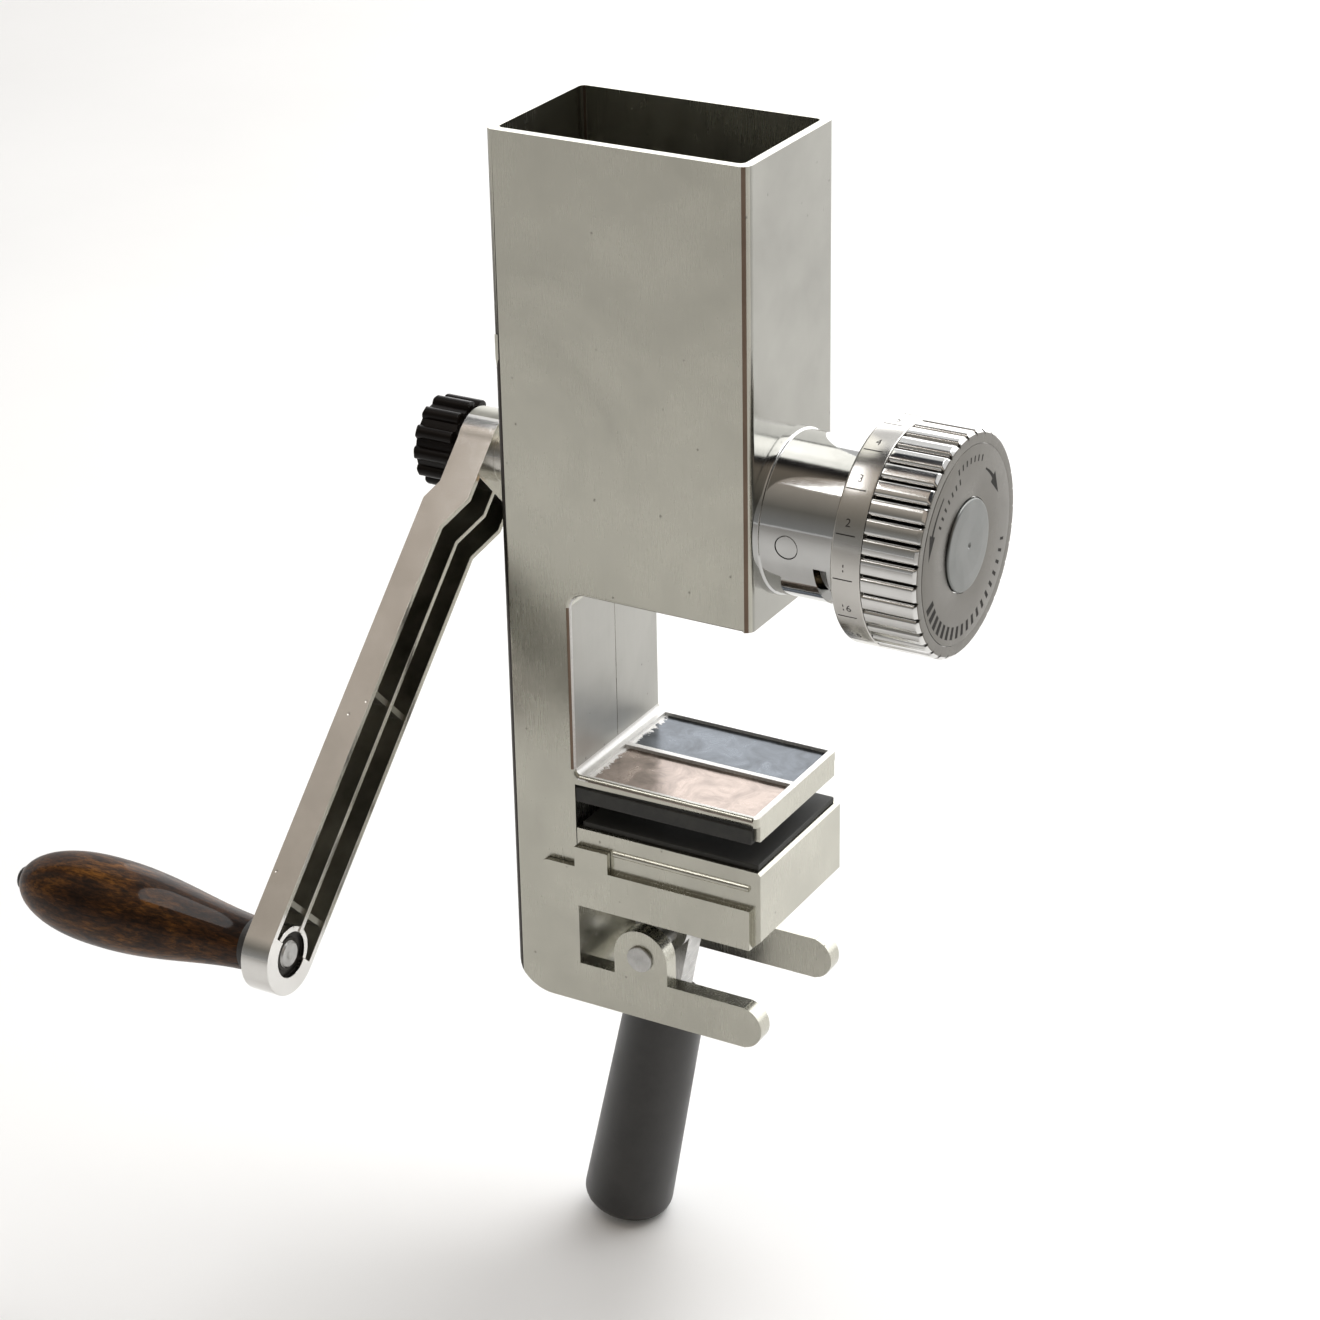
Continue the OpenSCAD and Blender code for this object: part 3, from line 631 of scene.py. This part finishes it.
def neck_slot(start, end):
    """The tool for the slot round the neck's lower side."""
    tool = lathe("cutter", box_outline(start, end, NECK_BORE - 3 * MM, NECK_RADIUS + 4 * MM), 96)
    far = 60 * MM
    below = box_outline(start - MM, end + MM, SHAFT.z - far, SHAFT.z - 6 * MM)
    combine(tool, prism("keep", below, -far, far), "INTERSECT")
    return tool


def make_neck():
    slot = (53 * MM, 57.5 * MM)
    neck = lathe("burr_neck", neck_outline(slot[1]), 192)
    combine(neck, neck_slot(*slot), "DIFFERENCE")
    far = 60 * MM
    pin_radius = 3.95 * MM
    pin_centre = Vector((44.2 * MM, 0, SHAFT.z - 0.5 * MM))
    outline = [(-far, 0), (-far, pin_radius), (far, pin_radius), (far, 0)]
    across = lathe("across", outline, 48, pin_centre, Matrix.Rotation(math.pi / 2, 3, "Z"))
    combine(neck, across, "DIFFERENCE")
    smooth(neck, 35)
    dress(neck, "frame", NECK_METAL, "grinder_neck")


# ---------------------------------------------------------------- adjusting knob
def shape_radius(piece, rule):
    """Moves the points of a turned piece to the radius that rule gives for radius and angle."""
    for vertex in piece.data.vertices:
        out = Vector((0, vertex.co.y - SHAFT.y, vertex.co.z - SHAFT.z))
        radius = out.length
        if radius > MM:
            wanted = rule(radius, math.atan2(out.z, out.y))
            vertex.co += out * (wanted / radius - 1)


KNOB_RADIUS = 35.9 * MM
FLUTES = 36


def flute_rule(radius, angle):
    """Narrow deep grooves between broad crowned lands."""
    depth = 1.5 * MM
    crown = 0.45 * MM
    land_share = 0.66
    phase = abs((angle * FLUTES / (2 * math.pi)) % 1 - 0.5) * 2
    across = max(0.0, (phase - land_share) / (1 - land_share))
    return min(radius, KNOB_RADIUS - crown * phase ** 2 - depth * across ** 1.4)


def make_knob():
    x0 = low("adjusting_knob").x
    face = high("adjusting_knob").x
    seat = 31.5 * MM
    inner = seat - 1.5 * MM
    seat_x = face - 0.7 * MM
    inner_x = face - 4.4 * MM
    outline = rounded([
        (x0, inner), (x0, KNOB_RADIUS, 0.4 * MM), (x0 + 1.5 * MM, KNOB_RADIUS),
        (face - 1.1 * MM, KNOB_RADIUS, 0.4 * MM), (face, KNOB_RADIUS - 1.3 * MM, 0.7 * MM),
        (face, seat, 0.08 * MM), (seat_x, seat), (seat_x, 0), (inner_x, 0), (inner_x, inner)], 6)
    knob = lathe("fluted_knob", outline, FLUTES * 16)
    shape_radius(knob, flute_rule)
    smooth(knob, 50)
    dress(knob, "knob", CHROME, "adjusting_knob")
    rim_x = face - 0.35 * MM
    groove_top = KNOB_RADIUS - 0.95 * MM
    repaint(knob, DIAL, lambda at, way: at.x > rim_x)
    # Painted shade at the bottoms of the flutes.
    repaint(knob, GROOVE_SHADE, lambda at, way: x0 + 0.5 * MM < at.x < rim_x
            and 33 * MM < from_axis(at, SHAFT) < groove_top)


def on_ring(x, level, angle):
    """The point at a radius and an angle round the shaft's axis, from the near side upwards."""
    return (x, -level * math.cos(angle), SHAFT.z + level * math.sin(angle))


def scale_line(x, angle):
    """A thin line inlaid along the ring."""
    half = 0.19 * MM
    loops = []
    for level in (KNOB_RADIUS - 0.25 * MM, KNOB_RADIUS + 0.012 * MM):
        loops.append([on_ring(x + u, level, angle + v / KNOB_RADIUS)
                      for u, v in box_outline(0, 6.4 * MM, -half, half)])
    return slab("scale_mark", *loops)


def numeral(text, x, angle):
    """A generic number wrapped on the ring, upright when seen from the side."""
    curve = bpy.data.curves.new("numeral", "FONT")
    curve.body = text
    curve.size = 3.6 * MM
    curve.extrude = 0.1 * MM
    curve.align_x = "CENTER"
    curve.align_y = "CENTER"
    holder = bpy.data.objects.new("numeral", curve)
    bpy.context.scene.collection.objects.link(holder)
    bpy.context.view_layer.update()
    mesh = bpy.data.meshes.new_from_object(holder.evaluated_get(bpy.context.evaluated_depsgraph_get()))
    bpy.data.objects.remove(holder)
    base = KNOB_RADIUS - 0.085 * MM
    for vertex in mesh.vertices:
        u, v, depth = vertex.co
        vertex.co = on_ring(x + u, base + depth, angle + v / KNOB_RADIUS)
    made = bpy.data.objects.new("numeral_" + text, mesh)
    bpy.context.scene.collection.objects.link(made)
    return made


def make_scale_ring():
    x0 = low("scale_ring").x
    x1 = high("scale_ring").x - 0.15 * MM
    step_x = x0 + 3 * MM
    bore = 26.4 * MM
    inner = 31 * MM
    ring = lathe("scale_ring_turned", rounded([
        (x0, bore), (x0, KNOB_RADIUS, 0.9 * MM), (x1, KNOB_RADIUS, 0.35 * MM),
        (x1, inner), (step_x, inner), (step_x, bore)], 6), 192)
    smooth(ring)
    dress(ring, "knob", SATIN_CHROME, "scale_ring")
    count = 16
    marks = []
    for i in range(count):
        angle = math.radians(-3.5 + i * 360 / count)
        marks.append(scale_line(x0 + 1.2 * MM, angle))
        marks.append(numeral(str(i + 1), x0 + 4.6 * MM, angle + 0.1))
    dress(join(marks, "scale_marks"), "knob", INK)


def join(pieces, name):
    """Puts several meshes into the first one."""
    bm = bmesh.new()
    for piece in pieces:
        bm.from_mesh(piece.data)
    bm.to_mesh(pieces[0].data)
    bm.free()
    pieces[0].name = name
    for piece in pieces[1:]:
        bpy.data.objects.remove(piece)
    return pieces[0]


def flat_mark(outline, x):
    """A printed mark on the knob's face; outline is (y, z) from the shaft's axis."""
    return slab("mark", *([(level, y, SHAFT.z + z) for y, z in outline] for level in (x - 0.1 * MM, x)))


def polar(radius, angle):
    return (radius * math.cos(angle), radius * math.sin(angle))


def arrow_outline(radius, start, end):
    """A curved arrow round the shaft's axis, growing from angle start to its head at end, in degrees."""
    width = 1.3 * MM
    head = 8 * MM
    half_head = 2 * MM
    steps = 10
    start, end = math.radians(start), math.radians(end)
    neck = end - math.copysign(head / radius, end - start)
    outer = []
    inner = []
    for i in range(steps + 1):
        angle = start + (neck - start) * i / steps
        half = width / 2 * (0.45 + 0.55 * i / steps)
        outer.append(polar(radius + half, angle))
        inner.append(polar(radius - half, angle))
    tip = [polar(radius + half_head, neck), polar(radius, end), polar(radius - half_head, neck)]
    return outer + tip + inner[::-1]


def tick_outline(radius, angle, length, width):
    """A bar that points outwards at an angle in degrees; radius, length and width in millimetres."""
    half = width / (2 * radius)
    corners = ((0, -half), (length, -half), (length, half), (0, half))
    return [polar((radius + out) * MM, math.radians(angle) + turn) for out, turn in corners]


def dial_outlines():
    """Two arrows with a row of ticks each, and bars that fade along the lower edge."""
    outlines = [arrow_outline(24.2 * MM, 58, 22), arrow_outline(27.6 * MM, 128, 170)]
    for i in range(7):
        outlines.append(tick_outline(26, 104 - 6 * i, 2, 0.8))
        outlines.append(tick_outline(22.4, 146 - 7 * i, 2, 0.8))
    bars = 19
    for i in range(bars):
        fade = i / (bars - 1)
        outlines.append(tick_outline(25.2 + 0.8 * fade, 203 + 7.8 * i, 4.8 - 2.4 * fade, 2.1 - 1.2 * fade))
    return outlines


def make_dial():
    x0 = low("dial_plate").x
    x1 = high("dial_plate").x
    inner = 15.1 * MM
    outer = 31.4 * MM
    plate = lathe("dial_face", rounded([
        (x0, inner), (x1, inner, 0.12 * MM), (x1, outer, 0.1 * MM), (x0, outer)], 4), 160)
    smooth(plate)
    dress(plate, "knob", DIAL, "dial_plate")
    marks = [flat_mark(outline, x1 + 0.012 * MM) for outline in dial_outlines()]
    dress(join(marks, "dial_marks"), "knob", INK)


def make_hub_disc():
    x0 = low("hub_disc").x
    x1 = high("hub_disc").x
    radius = 14.7 * MM
    outline = rounded([
        (x0, radius), (x1 - 0.15 * MM, radius, 0.55 * MM), (x1 - 0.12 * MM, radius - 1.4 * MM, 0.3 * MM),
        (x1, radius - 5 * MM, 2 * MM), (x1, 1.1 * MM, 0.1 * MM), (x1 - 0.5 * MM, 0.5 * MM, 0.2 * MM),
        (x1 - 0.6 * MM, 0), (x0, 0)])
    disc = lathe("hub_disc_turned", outline, 128)
    smooth(disc, 45)
    dress(disc, "knob", HUB, "hub_disc")


# ---------------------------------------------------------------- crank
def in_arm_channel(at, way):
    """True inside the channel cast into the arm's front, outside the two bosses."""
    local = Matrix.Rotation(-ARM_TURN, 3, "X") @ (at - Vector((0, SHAFT.y, SHAFT.z)))
    along = -local.z
    reach = ARM.length
    shaft_boss = 13 * MM
    grip_boss = 9.7 * MM
    if math.hypot(local.y, along) < shaft_boss or math.hypot(local.y, along - reach) < grip_boss:
        return False
    back = low("crank_arm").x
    bend = min(1.0, max(0.0, (along - 23 * MM) / (11 * MM)))
    rim = back + (15.5 - 6 * bend) * MM
    return along <= reach - MM and abs(local.y) < 11.8 * MM and back + MM < at.x < rim


def make_crank_arm():
    arm = clean_copy("crank_arm", "cast_crank_arm")
    soften(arm, 0.55, 30)
    dress(arm, "crank", ARM_METAL, "crank_arm")
    # Painted shade inside the arm's channel.
    repaint(arm, ARM_CHANNEL, in_arm_channel)
    head = high("grip_axle").x
    recess = 7.5 * MM
    # Painted shade in the recess round the rivet.
    repaint(arm, GROOVE_SHADE, lambda at, way: head - 3 * MM < at.x < head - 0.3 * MM
            and from_axis(at, GRIP_AXIS) < recess)


LOBES = 12


def lobe_rule(radius, angle):
    """Round lobes on a core; centre is where the lobes' own centres lie."""
    valley = 13.2 * MM
    centre = 12.9 * MM
    lobe = 2.3 * MM
    half = math.pi / LOBES
    off = (angle + half) % (2 * half) - half
    reach = lobe ** 2 - (centre * math.sin(off)) ** 2
    edge = centre * math.cos(off) + math.sqrt(reach) if reach > 0 else valley
    return min(radius, max(valley, edge))


def make_crank_nut():
    x0 = low("crank_nut").x
    x1 = high("crank_nut").x
    tip = 15.25 * MM
    thread = 4.25 * MM
    thread_x = x0 + 2.2 * MM
    dish_x = x0 + 1 * MM
    outline = rounded([
        (x1, thread), (x1, tip, 0.5 * MM), (x0 + 0.9 * MM, tip, 0.9 * MM), (x0, 11.4 * MM, 0.4 * MM),
        (x0, 9.6 * MM, 0.5 * MM), (dish_x, 8.8 * MM, 0.5 * MM), (dish_x, 5.2 * MM, 0.3 * MM),
        (x0 + 0.5 * MM, 4.6 * MM, 0.3 * MM), (x0 + 0.4 * MM, 0), (thread_x, 0), (thread_x, thread)], 4)
    nut = lathe("lobed_nut", outline, LOBES * 24)
    shape_radius(nut, lobe_rule)
    smooth(nut, 48)
    dress(nut, "crank", BROWN, "crank_nut")


def make_grip_axle():
    """The axle with its flange at the grip's end and its riveted head in the arm."""
    x0 = low("grip_axle").x
    x1 = high("grip_axle").x
    flange = 6 * MM
    rod = 4 * MM
    flange_x = x0 + 3 * MM
    head_x = x1 - 1.1 * MM
    rivet = 4.5 * MM
    outline = rounded([
        (x0, 0), (x0, flange, 0.5 * MM), (flange_x, flange, 0.3 * MM), (flange_x, rod),
        (head_x, rod), (head_x, 5.6 * MM, 0.2 * MM), (x1 - 0.8 * MM, 5.6 * MM, 0.1 * MM),
        (x1 - 0.7 * MM, rivet, 0.1 * MM), (x1, 3.9 * MM, 0.5 * MM), (x1 - 0.1 * MM, 1.6 * MM, 0.5 * MM),
        (x1 - 0.4 * MM, 0)], 5)
    axle = lathe("riveted_axle", outline, 72, GRIP_AXIS)
    smooth(axle)
    dress(axle, "crank", STEEL, "grip_axle")
    # Painted shade on the rim round the rivet's end.
    repaint(axle, GROOVE_SHADE, lambda at, way: at.x > head_x and from_axis(at, GRIP_AXIS) > rivet)


GRIP_BORE = 4.05 * MM


def grip_outline(x0, x1):
    """Side view of the wooden grip, from the arm to its end: swelling first, then closing in."""
    steps = 64
    big = 14.7 * MM
    start = 8.6 * MM
    belly = 0.62
    points = []
    for i in range(steps + 1):
        t = i / steps
        if t < belly:
            radius = start + (big - start) * (0.5 - 0.5 * math.cos(math.pi * (t / belly) ** 0.9))
        else:
            radius = big * math.sqrt(1 - 0.93 * ((t - belly) / (1 - belly)) ** 2.4)
        points.append((x0 + (x1 - x0) * t, radius))
    return points


def make_wooden_grip():
    x0 = high("wood_grip").x
    x1 = low("wood_grip").x
    side = grip_outline(x0, x1)
    start = [(x0, GRIP_BORE), (x0, 8.2 * MM), (x0 - 0.25 * MM, side[0][1])]
    grip = lathe("wooden_grip", start + side[1:] + [(x1, GRIP_BORE)], 96, GRIP_AXIS)
    smooth(grip)
    dress(grip, "grip", WOOD, "wood_grip")
    dark_end = x0 - 2.2 * MM
    repaint(grip, BLACK, lambda at, way: at.x > dark_end)


def make_grip_fittings():
    """The black cap at the grip's end and the black ring beside the arm."""
    tip = low("grip_end_cap").x
    seat = low("wood_grip").x + 0.1 * MM
    stem = 3.2 * MM
    stem_x = seat + 2.3 * MM
    cap = lathe("grip_tip", rounded([
        (tip, 0), (tip + 0.15 * MM, 2.2 * MM, 1 * MM), (tip + 1.5 * MM, 4 * MM, 1.2 * MM),
        (seat, 4.2 * MM), (seat, stem), (stem_x, stem), (stem_x, 0)], 5), 64, GRIP_AXIS)
    smooth(cap)
    dress(cap, "grip", BLACK, "grip_end_cap")
    x0 = low("grip_washer").x
    x1 = high("grip_washer").x
    edge = 9 * MM
    ring = lathe("grip_collar", rounded([
        (x0, GRIP_BORE), (x0, edge, 0.5 * MM), (x1, edge, 0.5 * MM), (x1, GRIP_BORE)], 5), 72, GRIP_AXIS)
    smooth(ring)
    dress(ring, "crank", BLACK, "grip_washer")


def make_small_parts():
    finish_from_cad((
        ("rear_bushing", "frame", "bronze", BRONZE, 0.4),
        ("crank_washer", "crank", "steel", STEEL, 0.25),
        ("neck_lock_pins", "frame", "polished_metal", NECK_METAL, 0.2),
    ))


def finish_nodes():
    """Every other CAD node keeps its shape and gets its finish."""
    finishes = {
        "cast_aluminium": BODY, "polished_metal": CHROME, "steel": STEEL, "bronze": BRONZE,
        "black_plastic": BLACK, "brown_plastic": BROWN, "rubber": RUBBER, "felt": FELT,
        "varnished_wood": WOOD}
    for row in frame["record"]["subparts"]:
        node = frame["nodes"][row["node"]]
        if node.hide_render:
            continue
        node.data.materials.clear()
        node.data.materials.append(finishes[row["material_slot"]])


# ---------------------------------------------------------------- studio
def make_floor():
    bm = bmesh.new()
    half = 8
    height = cad_box[0].z - 0.5 * MM
    bm.faces.new([bm.verts.new((x, y, height)) for x, y in box_outline(-half, half, -half, half)])
    floor = finish_mesh(bm, "floor")
    n = new_material("pale_floor")
    tone = n.ramp(n.noise(0.004), (0.3, (0.84, 0.84, 0.835)), (0.7, (0.87, 0.87, 0.865)))
    floor.data.materials.append(n.surface(Base_Color=tone, Roughness=0.6))


def make_world():
    """Light by direction round the X axis: white behind, dark overhead, warm and dimmer in front."""
    world = bpy.data.worlds.new("studio")
    bpy.context.scene.world = world
    n = Nodes(world, "Generated")
    split = n.add("ShaderNodeSeparateXYZ", {"Vector": n.place}).outputs
    turn = n.math("DIVIDE", n.math("ARCTAN2", split["Z"], split["Y"]), math.pi)
    walls = n.ramp(
        turn, (0.0, 0.7), (0.38, 0.9), (0.42, (0.02, 0.024, 0.03)), (0.52, (0.05, 0.045, 0.045)),
        (0.58, (0.55, 0.47, 0.4)), (0.72, (0.42, 0.38, 0.33)), (0.86, (0.18, 0.17, 0.15)),
        (1.0, (0.3, 0.3, 0.295)))
    background = n.tree.nodes["Background"]
    n.put(background.inputs["Color"], walls)
    n.put(background.inputs["Strength"], 1.0)


def make_lamps():
    for name, place, width, height, power, aim in (
        ("back_box", (0.3, 2.88, 1.11), 5.04, 2.7, 81, (0.3, 0, 0.3)),
        ("top_box", (0.4, 0.75, 1.5), 1.3, 1.1, 20, (0.35, 0.5, -0.18)),
        ("strip", (-0.5, -0.1, 1.1), 1.1, 0.16, 2.8, (-0.1, -0.1, 0.05)),
    ):
        lamp = bpy.data.lights.new(name, "AREA")
        lamp.shape = "RECTANGLE"
        lamp.size = width
        lamp.size_y = height
        lamp.energy = power
        holder = bpy.data.objects.new(name, lamp)
        bpy.context.scene.collection.objects.link(holder)
        holder.location = place
        holder.rotation_euler = (Vector(aim) - Vector(place)).to_track_quat("-Z", "Y").to_euler()


def make_camera():
    """The photo's viewpoint: turned left, looking down, slightly rolled."""
    place = Vector((0.4865, -0.8716, 0.5252))
    yaw, pitch, roll = (math.radians(angle) for angle in (29.95, 25.61, -1.088))
    forward = Vector((-math.sin(yaw) * math.cos(pitch), math.cos(yaw) * math.cos(pitch), -math.sin(pitch)))
    right = Vector((math.cos(yaw), math.sin(yaw), 0))
    up = right.cross(forward)
    turned_right = right * math.cos(roll) + up * math.sin(roll)
    turned_up = up * math.cos(roll) - right * math.sin(roll)
    data = bpy.data.cameras.new("camera")
    data.sensor_width = 36
    data.lens = 93.4
    data.clip_end = 50
    camera = bpy.data.objects.new("camera", data)
    bpy.context.scene.collection.objects.link(camera)
    turn = Matrix((turned_right, turned_up, -forward)).transposed().to_4x4()
    camera.matrix_world = Matrix.Translation(place) @ turn
    bpy.context.scene.camera = camera


make_camera()
make_world()
make_lamps()
make_floor()
make_housing()
make_clamp()
make_lever_grip()
make_neck()
make_knob()
make_scale_ring()
make_dial()
make_hub_disc()
make_crank_arm()
make_crank_nut()
make_grip_axle()
make_wooden_grip()
make_grip_fittings()
make_small_parts()
finish_nodes()
bpy.context.scene.view_settings.view_transform = "Standard"
